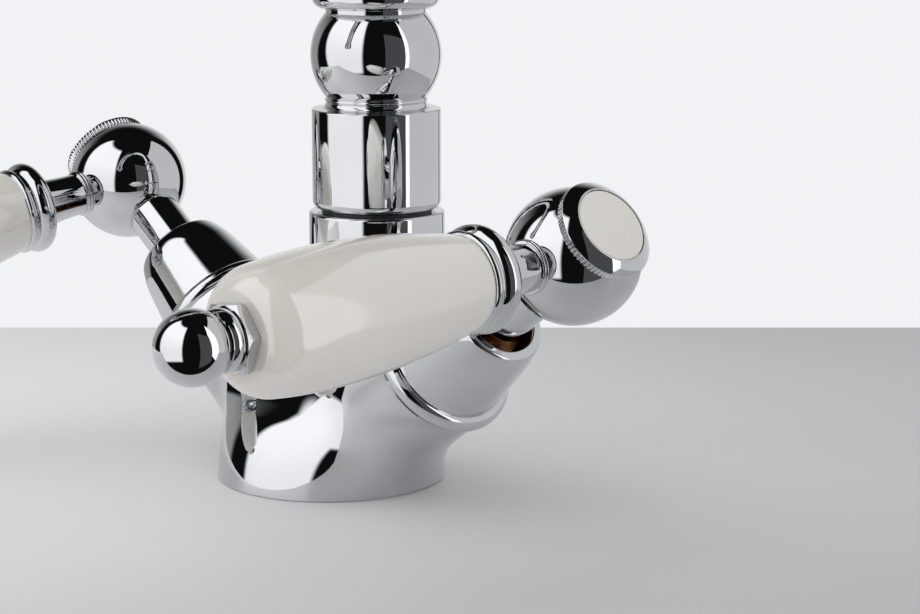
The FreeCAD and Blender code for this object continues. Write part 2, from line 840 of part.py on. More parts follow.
def build():
    """All pieces, placed, by name."""
    outlet = column_axis + FRONT * 2 * arch_radius
    nodes = {
        "mixer_body": make_body(),
        "base_gasket": make_gasket(),
        "glide_ring": make_glide_ring().translated(column_axis),
        "retaining_screw": on_neck_back(make_retaining_screw()),
        "spout_spigot": make_spigot().translated(column_axis),
        "spout_column": make_column().translated(column_axis),
        "spout_ring": make_spout_ring().translated(column_axis),
        "spout_tube": make_spout_tube().translated(column_axis),
        "aerator_housing": make_aerator_housing().translated(outlet),
        "aerator_insert": make_aerator_insert().translated(outlet),
        "aerator_seal": make_aerator_seal().translated(outlet),
    }
    for name, level in (("lower", lower_seal_level), ("upper", upper_seal_level)):
        nodes["spigot_seal_" + name] = o_ring(spigot_diameter, seal_section, level).translated(column_axis)
    valve_pieces = {
        "valve_cover": make_cover(),
        "headwork": make_headwork(),
        "fixed_disc": make_disc(headwork_bottom, 0),
        "seat_seal": make_seat_seal(),
        "spindle": make_spindle(),
        "moving_disc": make_disc(moving_disc_top - disc_thickness, 90),
        "spindle_seal": o_ring(spindle_diameter, seal_section, spindle_seal_level),
        "shank": make_shank(),
        "ball_hub": make_ball_hub(),
        "fixing_screw": make_fixing_screw(),
        "index_cap": make_index_cap(),
        "index_disc": make_index_disc(),
    }
    lever_pieces = {
        "lever_neck": make_lever_neck(),
        "ferrule": make_ferrule(),
        "lever_rod": make_lever_rod(),
        "grip": make_grip(),
        "end_nut": make_end_nut(),
        "finial": make_finial(),
    }
    for temperature, side in SIDES.items():
        for name, shape in valve_pieces.items():
            nodes[temperature + "_" + name] = on_valve(shape, side)
        for name, shape in lever_pieces.items():
            nodes[temperature + "_" + name] = on_lever(shape, side)
    return nodes


if __name__ == "__main__":
    os.makedirs("parts", exist_ok=True)
    for name, shape in build().items():
        solids = shape.Solids
        if len(solids) != 1 or not shape.isValid():
            print("check", name, len(solids), shape.isValid())
        solids[0].exportStep("parts/" + name + ".step")
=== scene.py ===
import json
import math

import bmesh
import bpy
import numpy as np
from mathutils import Matrix


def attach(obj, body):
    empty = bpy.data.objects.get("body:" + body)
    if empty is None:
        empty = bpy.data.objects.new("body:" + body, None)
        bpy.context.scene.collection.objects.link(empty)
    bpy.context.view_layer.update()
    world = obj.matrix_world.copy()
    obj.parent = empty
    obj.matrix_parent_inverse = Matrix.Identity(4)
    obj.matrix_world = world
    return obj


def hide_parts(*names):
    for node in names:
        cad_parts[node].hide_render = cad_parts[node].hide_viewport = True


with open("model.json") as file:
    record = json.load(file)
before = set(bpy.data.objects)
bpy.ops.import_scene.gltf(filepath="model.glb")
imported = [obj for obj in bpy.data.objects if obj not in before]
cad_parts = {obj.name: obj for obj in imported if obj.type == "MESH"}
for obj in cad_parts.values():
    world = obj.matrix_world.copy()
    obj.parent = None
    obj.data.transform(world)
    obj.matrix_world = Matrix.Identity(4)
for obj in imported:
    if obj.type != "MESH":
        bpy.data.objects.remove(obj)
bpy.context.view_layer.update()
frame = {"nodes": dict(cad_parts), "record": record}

# Basin mixer tap. Shapes are worked out in millimetres, in the frame of the
# solids: the origin is the centre of the foot on the deck, Z is up, -Y is the
# front and +X the cold side.

MM = 0.001

# Layout
TILT = math.radians(54.0)
BALL_OFFSET = 73.3
BALL_HEIGHT = 57.5
LEVER_REST = {1: math.radians(3.0), -1: math.radians(11.5)}
COLUMN_AXIS = np.array([0.0, 13.8, 0.0])
SIDES = {"cold": 1, "hot": -1}
MEET_HEIGHT = BALL_HEIGHT - BALL_OFFSET / math.tan(TILT)

# Levels on a valve axis, counted from the ball centre
ARM_FACE = -47.3
COVER_RIM = -24.9
SHANK_END = -26.0
BALL_BOTTOM = -12.0
BALL_TOP = 9.0
DISC_SEAT = 11.3
CAP_TOP = 12.6
ARM_LENGTH = BALL_OFFSET / math.sin(TILT) + ARM_FACE

# Levels on a lever, counted from the ball centre
LEVER_FLAT = 12.4
FERRULE_START = 24.0
GRIP_START = 31.0
GRIP_END = 85.3
NUT_END = 87.7
FINIAL_CENTRE = 95.0

# Levels on the column axis
NECK_JOIN = 42.0
NECK_TOP = 57.1
COLUMN_BOTTOM = 57.6
BULB_BOTTOM = 81.9
COLUMN_TOP = 101.2
ARCH_LEVEL = 129.2
TUBE_END = 121.2

# Radii that more than one piece takes
BALL_RADIUS = 13.55
COVER_BORE = 7.95
NECK_RADIUS = 14.9
COLUMN_BORE = 9.45
TUBE_RADIUS = 9.5
TUBE_SEAT = 9.55
ARCH_RADIUS = 56.0

# Closest points and edges that stay apart, in metres, and the sharpest corner that is shaded smooth
MERGE_REACH = 1e-7
EDGE_REACH = 1e-8
CREASE = math.radians(30.0)

# Steps round a turned piece, a drilled hole and a rounded corner
TURN_STEPS = 160
FINE_STEPS = 200
DRILL_STEPS = 48
CORNER_STEPS = 7


# Outlines

LONG_SIDE = 0.6
HOLD_REACH = 0.12
SAME_POINT = 1e-6


def arc(centre, radius, start, end, count):
    """Points of a circle: the centre plus the radius times (cos, sin) of even steps in degrees."""
    turn = np.radians(np.linspace(start, end, count))
    return np.column_stack([centre[0] + radius * np.cos(turn), centre[1] + radius * np.sin(turn)])


def round_corner(before, corner, after, radius):
    """Arc that touches both sides of a corner, each at radius times tan(half the turn) from it."""
    come = (corner - before) / np.linalg.norm(corner - before)
    go = (after - corner) / np.linalg.norm(after - corner)
    turn = math.atan2(come[0] * go[1] - come[1] * go[0], come @ go)
    first = corner - come * radius * math.tan(abs(turn) / 2)
    centre = first + np.array([-come[1], come[0]]) * math.copysign(radius, turn)
    start = math.degrees(math.atan2(first[1] - centre[1], first[0] - centre[0]))
    return arc(centre, radius, start, start + math.degrees(turn), CORNER_STEPS)


def outline(*steps):
    """Closed outline of (r, z) corners, (r, z, radius) rounded corners and ready arcs.

    A long straight side gets a point close to each end, so that smooth shading
    leaves it straight.
    """
    ends = []
    for step in steps:
        if isinstance(step, np.ndarray):
            ends.append((step[0], step[-1]))
        else:
            corner = np.array(step[:2], float)
            ends.append((corner, corner))
    runs = []
    for k, step in enumerate(steps):
        if isinstance(step, np.ndarray):
            runs.append(step)
        elif len(step) == 3:
            before, after = ends[k - 1][1], ends[(k + 1) % len(steps)][0]
            runs.append(round_corner(before, ends[k][0], after, step[2]))
        else:
            runs.append(np.array([step], float))
    points = np.vstack(runs)
    onward = np.roll(points, -1, axis=0) - points
    length = np.linalg.norm(onward, axis=1, keepdims=True)
    share = np.where(length > LONG_SIDE, HOLD_REACH / np.maximum(length, LONG_SIDE), 0.0)
    held = np.stack([points, points + onward * share, points + onward * (1 - share)], axis=1)
    keep = np.repeat(length > LONG_SIDE, 3, axis=1)
    keep[:, 0] = length[:, 0] > SAME_POINT
    return held.reshape(-1, 2)[keep.reshape(-1)]


# Places: each takes points of a piece's own axis frame to the frame of the solids

def on_valve(side):
    """Local Z runs out along the valve axis, local -Y along the lever."""
    out = np.array([side * math.sin(TILT), 0, math.cos(TILT)])
    down = np.array([side * math.cos(TILT), 0, -math.sin(TILT)])
    back = np.array([0, math.cos(LEVER_REST[side]), 0]) - down * math.sin(LEVER_REST[side])
    axes = np.array([np.cross(back, out), back, out])
    centre = np.array([side * BALL_OFFSET, 0, BALL_HEIGHT])
    return lambda points: centre + points @ axes


def on_lever(side):
    """Local Z runs out along the lever from the ball centre."""
    valve = on_valve(side)
    lay_down = np.array([[1.0, 0, 0], [0, 0, 1], [0, -1, 0]])
    return lambda points: valve(points @ lay_down)


def on_column(points):
    """Local Z runs up the column."""
    return COLUMN_AXIS + points


def on_outlet(points):
    """Local Z runs up the outlet, two arch radii in front of the column."""
    return COLUMN_AXIS + np.array([0, -2 * ARCH_RADIUS, 0]) + points


# Surfaces

def full_turn(count):
    """Angles of a whole turn in equal steps, without the last, which is the first again."""
    return np.linspace(0, 2 * math.pi, count, endpoint=False)


def grid_quads(rows, columns, close_rows=True):
    """Quads of a grid of points: columns close on themselves, and so do rows unless told otherwise."""
    row = np.arange(rows if close_rows else rows - 1)
    column = np.arange(columns)
    r, c = np.meshgrid(row, column, indexing="ij")
    r_next, c_next = (r + 1) % rows, (c + 1) % columns
    corners = [r * columns + c, r * columns + c_next, r_next * columns + c_next, r_next * columns + c]
    return np.stack(corners, axis=-1).reshape(-1, 4)


def around(radius, height, turn):
    """Rows of radii and heights carried round Z: (r cos a, r sin a, z) at each angle a."""
    points = np.stack([radius * np.cos(turn), radius * np.sin(turn), height + 0 * turn], axis=-1)
    return points.reshape(-1, 3)


def lathe(profile, count=TURN_STEPS):
    """Turned surface: each outline point (r, z) goes round Z."""
    return around(profile[:, :1], profile[:, 1:], full_turn(count)), grid_quads(len(profile), count)


def make_mesh(name, points, quads):
    """Mesh of millimetre points with doubles merged and faces turned outwards."""
    mesh = bpy.data.meshes.new(name)
    mesh.vertices.add(len(points))
    mesh.vertices.foreach_set("co", (points * MM).ravel())
    mesh.loops.add(quads.size)
    mesh.loops.foreach_set("vertex_index", quads.ravel())
    mesh.polygons.add(len(quads))
    mesh.polygons.foreach_set("loop_start", np.arange(0, quads.size, 4))
    mesh.update(calc_edges=True)
    work = bmesh.new()
    work.from_mesh(mesh)
    bmesh.ops.remove_doubles(work, verts=work.verts, dist=MERGE_REACH)
    bmesh.ops.dissolve_degenerate(work, edges=work.edges, dist=EDGE_REACH)
    bmesh.ops.recalc_face_normals(work, faces=work.faces)
    work.to_mesh(mesh)
    work.free()
    return mesh


def add_piece(name, mesh, finish, body, node):
    """Object for a mesh that stands for a solid, rides on its body and is smooth but for sharp corners."""
    mesh.polygons.foreach_set("use_smooth", np.ones(len(mesh.polygons), bool))
    mesh.set_sharp_from_angle(angle=CREASE)
    mesh.materials.append(finish)
    piece = bpy.data.objects.new(name, mesh)
    bpy.context.scene.collection.objects.link(piece)
    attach(piece, body)
    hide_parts(node)
    return piece


def formed_piece(node, form, surface, place, finish, body):
    """Piece for a node from a surface's points and quads, named after the node and its form."""
    points, quads = surface
    mesh = make_mesh(node + form, place(points), quads)
    return add_piece(node + form, mesh, finish, body, node)


def turned_piece(node, profile, place, finish, body, count=TURN_STEPS):
    """Piece for a node from an outline that goes round Z."""
    return formed_piece(node, "_turned", lathe(profile, count), place, finish, body)


def face_centres(mesh):
    """Centres of a mesh's faces in millimetres."""
    centres = np.empty(len(mesh.polygons) * 3)
    mesh.polygons.foreach_get("center", centres)
    return centres.reshape(-1, 3) / MM


def add_finish(mesh, finish, chosen):
    """Second finish of a mesh, on the chosen faces."""
    mesh.materials.append(finish)
    mesh.polygons.foreach_set("material_index", chosen.astype(np.int32))


# Shader expressions

class Value:
    """A socket that Python's operators work on: an expression on values adds its Math nodes."""

    def __init__(self, tree, socket):
        self.tree = tree
        self.socket = socket

    def maths(self, operation, first, second):
        return self.tree.node("Math", {"operation": operation}, {0: first, 1: second})

    def __add__(self, other):
        return self.maths("ADD", self, other)

    __radd__ = __add__

    def __sub__(self, other):
        return self.maths("SUBTRACT", self, other)

    def __rsub__(self, other):
        return self.maths("SUBTRACT", other, self)

    def __mul__(self, other):
        return self.maths("MULTIPLY", self, other)

    __rmul__ = __mul__


class Tree:
    """A node tree and the one way to add a node to it."""

    def __init__(self, owner):
        owner.use_nodes = True
        self.nodes = owner.node_tree.nodes
        self.links = owner.node_tree.links
        self.nodes.clear()

    def node(self, kind, settings=None, inputs=None, out=0):
        """Node of a kind with its settings and the values or links of its inputs; gives one output."""
        made = self.nodes.new("ShaderNode" + kind)
        for key, value in (settings or {}).items():
            setattr(made, key, value)
        for key, value in (inputs or {}).items():
            if isinstance(value, Value):
                self.links.new(value.socket, made.inputs[key])
            else:
                made.inputs[key].default_value = value
        return Value(self, made.outputs[out]) if len(made.outputs) else None

    def noise(self, where, scale, detail, roughness=0.5):
        inputs = {"Vector": where, "Scale": scale, "Detail": detail, "Roughness": roughness}
        return self.node("TexNoise", None, inputs)

    def blend(self, share, first, second):
        return self.node("Mix", {"data_type": "RGBA"}, {0: share, 6: first, 7: second}, 2)

    def step(self, value, low, high):
        """0 below low, 1 above high, smooth between."""
        return self.node("MapRange", {"interpolation_type": "SMOOTHSTEP"}, {0: value, 1: low, 2: high})

    def along(self, direction, axis):
        """Part of a direction that runs along an axis."""
        return self.node("VectorMath", {"operation": "DOT_PRODUCT"}, {0: direction, 1: tuple(axis)}, 1)

    def bump(self, height, distance, strength=1.0):
        return self.node("Bump", None, {"Height": height, "Distance": distance, "Strength": strength})

    def surface(self, **inputs):
        sockets = {key.replace("_", " "): value for key, value in inputs.items()}
        shader = self.node("BsdfPrincipled", None, sockets)
        self.node("OutputMaterial", None, {"Surface": shader})

    def shine(self, colour, strength):
        light = self.node("Emission", None, {"Color": colour, "Strength": strength})
        self.node("OutputMaterial", None, {"Surface": light})


def new_finish(name):
    """Material with an empty tree, and the place on the piece that its patterns read."""
    material = bpy.data.materials.new(name)
    tree = Tree(material)
    return material, tree, tree.node("TexCoord", out="Object")


def polished_chrome():
    """Bright plating: nearly a mirror, with faint wipe marks in its gloss and a very faint ripple."""
    material, tree, where = new_finish("polished_chrome")
    wipe = tree.noise(where, 55.0, 4.0, 0.6)
    ripple = tree.noise(where, 170.0, 1.0)
    dust = tree.noise(where, 1400.0, 2.0)
    tint = tree.blend(tree.step(wipe, 0.35, 0.75), (0.66, 0.665, 0.68, 1), (0.70, 0.705, 0.715, 1))
    gloss = 0.018 + 0.02 * tree.step(wipe, 0.45, 0.8) + 0.012 * tree.step(dust, 0.55, 0.75)
    tree.surface(Base_Color=tint, Metallic=1.0, Roughness=gloss, Normal=tree.bump(ripple, 0.000012))
    return material


def glazed_porcelain():
    """Warm white glaze over fired clay: soft clouds, a few specks and a clear, wavy gloss coat."""
    material, tree, where = new_finish("glazed_porcelain")
    cloud = tree.noise(where, 28.0, 3.0)
    speck = tree.noise(where, 2600.0, 1.0)
    wave = tree.noise(where, 90.0, 1.0)
    body = tree.blend(tree.step(cloud, 0.3, 0.7), (0.765, 0.73, 0.67, 1), (0.805, 0.775, 0.72, 1))
    colour = tree.blend(0.25 * tree.step(speck, 0.68, 0.76), body, (0.64, 0.60, 0.53, 1))
    tree.surface(Base_Color=colour, Roughness=0.16 + 0.06 * cloud, Coat_Weight=1.0, Coat_Roughness=0.08,
                 Coat_IOR=1.65, Subsurface_Weight=0.12, Subsurface_Scale=0.002,
                 Normal=tree.bump(wave, 0.00002))
    return material


def turned_brass():
    """Unpolished brass: dark stains, warm where it is rubbed, with fine turning lines."""
    material, tree, where = new_finish("turned_brass")
    stain = tree.noise(where, 240.0, 4.0, 0.6)
    line = tree.noise(where, 2200.0, 2.0)
    colour = tree.blend(tree.step(stain, 0.35, 0.7), (0.13, 0.06, 0.022, 1), (0.44, 0.235, 0.095, 1))
    tree.surface(Base_Color=colour, Metallic=1.0, Roughness=0.2 + 0.2 * stain,
                 Normal=tree.bump(line, 0.00003, 0.6))
    return material


def plain_finish(name, dark, light, rough, metal=0.0):
    """Small fittings: two close tones in a fine noise, which also gives gloss and grain."""
    material, tree, where = new_finish(name)
    grain = tree.noise(where, 600.0, 3.0)
    colour = tree.blend(tree.step(grain, 0.3, 0.7), dark, light)
    tree.surface(Base_Color=colour, Metallic=metal, Roughness=rough - 0.1 + 0.2 * grain,
                 Normal=tree.bump(grain, 0.00003))
    return material


chrome = polished_chrome()
porcelain = glazed_porcelain()
brass = turned_brass()
finish_of_slot = {
    "chrome": chrome,
    "porcelain": porcelain,
    "brass": brass,
    "rubber": plain_finish("black_rubber", (0.012, 0.012, 0.012, 1), (0.03, 0.03, 0.031, 1), 0.6),
    "steel": plain_finish("bright_steel", (0.46, 0.46, 0.47, 1), (0.6, 0.6, 0.61, 1), 0.28, 1.0),
    "disc_ceramic": plain_finish("lapped_ceramic", (0.82, 0.82, 0.80, 1), (0.9, 0.9, 0.88, 1), 0.3),
    "dark_plastic": plain_finish("dark_plastic", (0.02, 0.02, 0.022, 1), (0.045, 0.045, 0.048, 1), 0.45),
    "pale_plastic": plain_finish("pale_plastic", (0.66, 0.67, 0.67, 1), (0.74, 0.75, 0.75, 1), 0.35)}

# Each solid gets the finish of its slot
for entry in frame["record"]["subparts"]:
    solid = frame["nodes"][entry["node"]]
    solid.data.materials.clear()
    solid.data.materials.append(finish_of_slot[entry["material_slot"]])


# The cast body

ARM_RADIUS = 15.1
ROOT_RADIUS = 15.79
ROOT_SQUARENESS = 2.85
ROOT_NARROWING = 1.18
ROOT_SETBACK = 1.90
ROOT_LIFT = 1.52
ARM_WAIST = 0.44
GROWTH = 1.34
ROUNDING = 0.70
FOOT_RADIUS = 25.0
FOOT_HEIGHT = 19.23
FOOT_LEAN = 0.29
FOOT_POWER = 2.80
FOOT_EASE = 0.35
FOOT_BLEND = 2.01
VALLEY_BLEND = 20.9
VALLEY_CHANGE = -6.4
VALLEY_START = 4.0
VALLEY_SPAN = 20.0
NECK_FOOT = 19.0
NECK_BLEND = 7.7
NECK_SHRINK = 0.06
CAST_TOP = 46.0

# Edges and holes of the cast body
EDGE_ROUND = 0.5
EDGE_INSET = 0.46
RIM_DROP = 0.18
RIM_SHARE = 0.012
GROOVE_INNER = 20.4
GROOVE_OUTER = 22.9
GROOVE_DEPTH = 1.6
STUD_RADIUS = 3.4
STUD_DEPTH = 14.0
STUD_SPOT = np.array([0, -13.0, 0])
INLET_RADIUS = 4.5
INLET_DEPTH = 13.5
INLET_SPOT = np.array([12.74, 0, 0])
SCREW_RADIUS = 2.05
SCREW_HEIGHT = 50.0
CUT_SPARE = 1.0
FACE_SPARE = 0.1


def smooth_least(first, second, width):
    """Smaller of two distances, lowered where they are close.

    It is lowered by width/4 times the square of (1 - difference/width).
    """
    share = np.maximum(width - np.abs(first - second), 0) / width
    return np.minimum(first, second) - share * share * width / 4


def arm_distance(x, y, z, side):
    """Distance to the axis of a sloping arm, less its radius.

    The share of the way along the arm sets the section: at the root a squarish
    oval that stands further back, at the end a circle, with a slight waist between.
    """
    along = np.maximum(side * x * math.sin(TILT) + (z - MEET_HEIGHT) * math.cos(TILT), 0)
    way = np.clip(along / ARM_LENGTH, 1e-6, 1)
    share = way**GROWTH
    power = ROOT_SQUARENESS + (2 - ROOT_SQUARENESS) * way**ROUNDING
    width = np.abs(y - ROOT_SETBACK * (1 - share)) * (ROOT_NARROWING + (1 - ROOT_NARROWING) * share)
    level = z - ROOT_LIFT * (1 - share) - MEET_HEIGHT - along * math.cos(TILT)
    height = np.hypot(x - side * along * math.sin(TILT), level)
    off = (height**power + width**power)**(1 / power)
    radius = ROOT_RADIUS + (ARM_RADIUS - FOOT_BLEND / 4 - ROOT_RADIUS) * share
    return off - radius + ARM_WAIST * 4 * share * (1 - share)


def trunk_distance(x, y, z, arms):
    """Arms on a foot that goes over from a circle on the deck into them.

    The share of the arms is a power of the height with a straight part, eased on top.
    """
    height = np.maximum(z, 0) / FOOT_HEIGHT
    share = smooth_least(FOOT_LEAN * height + (1 - FOOT_LEAN) * height**FOOT_POWER, 1.0, FOOT_EASE)
    wall = (1 - share) * (np.hypot(x, y) - FOOT_RADIUS) + share * arms
    return smooth_least(arms, np.maximum(wall, -z - FOOT_RADIUS), FOOT_BLEND)


def neck_distance(x, y, z):
    """Distance to the upright neck, a hair thinner above the place where its turned top begins."""
    shrink = NECK_SHRINK * np.clip((z - NECK_JOIN) / 2, 0, 1)
    below = np.maximum(NECK_FOOT - z, 0)
    return np.sqrt(x**2 + (y - COLUMN_AXIS[1])**2 + below**2) - NECK_RADIUS + shrink


def cast_distance(points):
    """Both arms, the foot and the neck in smooth blends; the arms' valley gets tighter upwards."""
    x, y, z = np.moveaxis(points, -1, 0)
    valley = VALLEY_BLEND + VALLEY_CHANGE * np.clip((z - VALLEY_START) / VALLEY_SPAN, -0.2, 1.2)
    arms = smooth_least(arm_distance(x, y, z, 1), arm_distance(x, y, z, -1), valley)
    return smooth_least(trunk_distance(x, y, z, arms), neck_distance(x, y, z), NECK_BLEND)


def cast_body():
    """Casting: the place where rays from its middle leave the blended foot, arms and neck.

    A ray's direction lies on the circle through both arm directions and one
    direction of the middle plane: the first parameter is that direction's
    angle, the second the share of the way to the arm.
    """
    rays, rows, ray_halvings, rim_halvings = 340, 121, 40, 30
    centre = np.array([0, 0.3 * COLUMN_AXIS[1], MEET_HEIGHT + 0.4 * NECK_FOOT])
    arm = np.array([math.sin(TILT), 0, math.cos(TILT)])
    meet = np.array([0, 0, MEET_HEIGHT])
    pole = arm * ARM_LENGTH + meet - centre
    pole = pole / np.linalg.norm(pole)
    angle = full_turn(rays)
    middle = np.stack([0 * angle, np.sin(angle), -np.cos(angle)], axis=-1)
    base = np.array([0, pole[1], pole[2]])
    rise = np.linalg.norm(middle - base, axis=-1)
    drop = (rise**2 - pole[0]**2) / (2 * rise)
    whole = np.arctan2(pole[0], -drop)

    def hit(share):
        """Points where the rays leave the casting, found by halving a span of each ray."""
        turn = share * whole[:, None]
        radius = (rise - drop)[:, None]
        reach = (drop[:, None] + radius * np.cos(turn)) / rise[:, None]
        ray = base + (middle - base)[:, None] * reach[..., None]
        ray = ray + np.stack([radius * np.sin(turn), 0 * turn, 0 * turn], axis=-1)
        near, far = np.zeros(turn.shape), np.full(turn.shape, 3 * ARM_LENGTH)
        for _ in range(ray_halvings):
            trial = (near + far) / 2
            inside = cast_distance(centre + ray * trial[..., None]) < 0
            near, far = np.where(inside, trial, near), np.where(inside, far, trial)
        return centre + ray * near[..., None]

    low, high = np.full((rays, 1), 0.3), np.full((rays, 1), 0.99)
    for _ in range(rim_halvings):
        share = (low + high) / 2
        short = (hit(share) - meet) @ arm < ARM_LENGTH
        low, high = np.where(short, share, low), np.where(short, high, share)
    half = hit(low * np.linspace(0, 1, rows))
    half[:, -1] -= arm * ((half[:, -1] - meet) @ arm - ARM_LENGTH)[:, None]
    end = meet + arm * ARM_LENGTH
    rim = half[:, -1:] - (half[:, -1:] - end) * RIM_SHARE
    half[:, -1] -= arm * RIM_DROP
    cap = end + (rim - end) * np.array([1.0, 0.66, 0.0])[None, :, None]
    half = np.concatenate([half, cap], axis=1)
    other = half[:, :0:-1] * np.array([-1.0, 1, 1])
    points = np.moveaxis(np.concatenate([other, half], axis=1), 0, 1)
    return points.reshape(-1, 3), grid_quads(points.shape[0], points.shape[1], False)


def cut_flat(mesh, height, up):
    """Cut a closed mesh on a level plane, drop what lies beyond it and close the hole."""
    work = bmesh.new()
    work.from_mesh(mesh)
    everything = work.verts[:] + work.edges[:] + work.faces[:]
    cut = bmesh.ops.bisect_plane(work, geom=everything, dist=MERGE_REACH, plane_co=(0, 0, height * MM),
                                 plane_no=(0, 0, up), clear_outer=True)
    rim = [item for item in cut["geom_cut"] if isinstance(item, bmesh.types.BMEdge)]
    bmesh.ops.edgeloop_fill(work, edges=rim)
    bmesh.ops.recalc_face_normals(work, faces=work.faces)
    work.to_mesh(mesh)
    work.free()


def carve(mesh, *cutters):
    """Mesh less the closed shapes of the cutters, each given as points and quads."""
    starts = np.cumsum([0] + [len(points) for points, quads in cutters])
    all_points = np.vstack([points for points, quads in cutters])
    all_quads = np.vstack([quads + start for (points, quads), start in zip(cutters, starts)])
    tool = bpy.data.objects.new("cutter", make_mesh("cutter", all_points, all_quads))
    block = bpy.data.objects.new("block", mesh)
    for item in (tool, block):
        bpy.context.scene.collection.objects.link(item)
    cut = block.modifiers.new("cut", "BOOLEAN")
    cut.operation = "DIFFERENCE"
    cut.solver = "EXACT"
    cut.object = tool
    whole = block.evaluated_get(bpy.context.evaluated_depsgraph_get())
    shape = bpy.data.meshes.new_from_object(whole)
    for item in (tool, block):
        bpy.data.meshes.remove(item.data)
    return shape


def drill(radius, start, end):
    """Cutter for a round hole along Z."""
    return lathe(outline((0, start), (radius, start), (radius, end), (0, end)), DRILL_STEPS)


def underside_cutters():
    """Rounded edge of the foot, groove for the gasket, hole for the stud and the two inlets."""
    inset, past = FOOT_RADIUS - EDGE_INSET, FOOT_RADIUS + CUT_SPARE
    edge = outline((inset, -CUT_SPARE), (past, -CUT_SPARE), (past, EDGE_ROUND),
                   arc((inset, EDGE_ROUND), EDGE_ROUND, 0, -90, 10))
    groove = outline((GROOVE_INNER, -CUT_SPARE), (GROOVE_OUTER, -CUT_SPARE),
                     (GROOVE_OUTER, GROOVE_DEPTH), (GROOVE_INNER, GROOVE_DEPTH))
    stud, stud_quads = drill(STUD_RADIUS, -CUT_SPARE, STUD_DEPTH)
    inlet, inlet_quads = drill(INLET_RADIUS, -CUT_SPARE, INLET_DEPTH)
    inlets = [(inlet + side * INLET_SPOT, inlet_quads) for side in SIDES.values()]
    return [lathe(edge, 240), lathe(groove, 120), (stud + STUD_SPOT, stud_quads)] + inlets


def raw_faces(mesh):
    """Faces of the underside, its groove and its holes, which have no plating."""
    x, y, z = face_centres(mesh).T
    groove = (np.hypot(x, y) < GROOVE_OUTER + FACE_SPARE) & (z < GROOVE_DEPTH + FACE_SPARE / 2)
    stud = np.hypot(x, y - STUD_SPOT[1]) < STUD_RADIUS + FACE_SPARE
    inlet = np.hypot(np.abs(x) - INLET_SPOT[0], y) < INLET_RADIUS + FACE_SPARE
    drilled = (stud | inlet) & (z < STUD_DEPTH + FACE_SPARE / 2)
    return (z < FACE_SPARE / 10) | groove | drilled


def neck_top():
    """Turned top of the neck: a seat for the glide ring and a hole at the back for the screw."""
    seat, start = 12.1, NECK_JOIN - 3
    profile = outline(
        (COLUMN_BORE, start), (NECK_RADIUS - 0.04, start), (NECK_RADIUS, NECK_JOIN),
        (NECK_RADIUS, NECK_TOP, 0.6), (seat, NECK_TOP, 0.1), (seat, NECK_TOP - 1),
        (COLUMN_BORE, NECK_TOP - 1))
    points, quads = lathe(profile)
    hole, hole_quads = drill(SCREW_RADIUS, 0, NECK_RADIUS + 2)
    hole = hole[:, [0, 2, 1]] + np.array([0, 0, SCREW_HEIGHT])
    top = make_mesh("mixer_body_top", on_column(points), quads)
    return carve(top, (on_column(hole), hole_quads))


cast_mesh = make_mesh("mixer_body_whole", *cast_body())
cut_flat(cast_mesh, 0.0, -1)
cut_flat(cast_mesh, CAST_TOP, 1)
cast_mesh = carve(cast_mesh, *underside_cutters())
add_piece("mixer_body_cast", cast_mesh, chrome, "mixer", "mixer_body")
add_finish(cast_mesh, brass, raw_faces(cast_mesh))
add_piece("mixer_body_neck", neck_top(), chrome, "mixer", "mixer_body")


# Valve and lever pieces, the same on both sides

BORE_STRAIGHT = 3.0
BORE_WIDENING = 0.21
CAP_TEETH = 72


def cover_profile():
    """Sleeve with a half-round bead at its foot: a cone that falls off by a parabola before its rim."""
    seat, bead, wide, foot = 11.6, 2.05, 13.7, ARM_FACE + 4.3
    taper, fall = 0.156, 0.02
    start, end = 11.9, 16.9
    rise = np.linspace(0, end, 70)
    radius = wide - taper * rise - fall * np.maximum(rise - start, 0)**2
    rim = radius[-1] - (taper + 2 * fall * (end - start)) * (COVER_RIM - foot - end)
    return outline(
        (seat, ARM_FACE), (14.92, ARM_FACE), arc((13.85, ARM_FACE + 1.75), bead, -58, 90, 36),
        np.column_stack([radius, foot + rise]), (rim, COVER_RIM, 1.2), (COVER_BORE, COVER_RIM, 0.6),
        (COVER_BORE, COVER_RIM - BORE_STRAIGHT, 0.4), (seat, ARM_FACE + 3.8, 0.4))


def bore_faces(mesh, valve):
    """Faces of a cover's bare brass bore: those closer to the valve axis than its widening wall."""
    centre = valve(np.zeros(3))
    local = (face_centres(mesh) - centre) @ np.linalg.inv(valve(np.eye(3)) - centre)
    wall = COVER_BORE + FACE_SPARE
    wall = wall + BORE_WIDENING * np.maximum(COVER_RIM - BORE_STRAIGHT - local[:, 2], 0)
    return np.hypot(local[:, 0], local[:, 1]) < wall


def shank_profile():
    """Narrow sleeve with a rounded lower edge."""
    bore, outer = 4.05, 6.0
    return outline((bore, SHANK_END, 0.4), (outer, SHANK_END, 1.6),
                   (outer, BALL_BOTTOM), (bore, BALL_BOTTOM))


def ball_profile():
    """Ball between its two flats."""
    low = math.degrees(math.asin(BALL_BOTTOM / BALL_RADIUS))
    high = math.degrees(math.asin(BALL_TOP / BALL_RADIUS))
    return outline(arc((0, 0), BALL_RADIUS, low, high, 90), (0, BALL_TOP), (0, BALL_BOTTOM))


def disc_profile():
    """Flat disc with a rounded edge, a trace higher in its middle."""
    radius, crown = 7.6, 0.04
    return outline((0, DISC_SEAT), (radius, DISC_SEAT), (radius, CAP_TOP - crown, 0.25), (0, CAP_TOP))


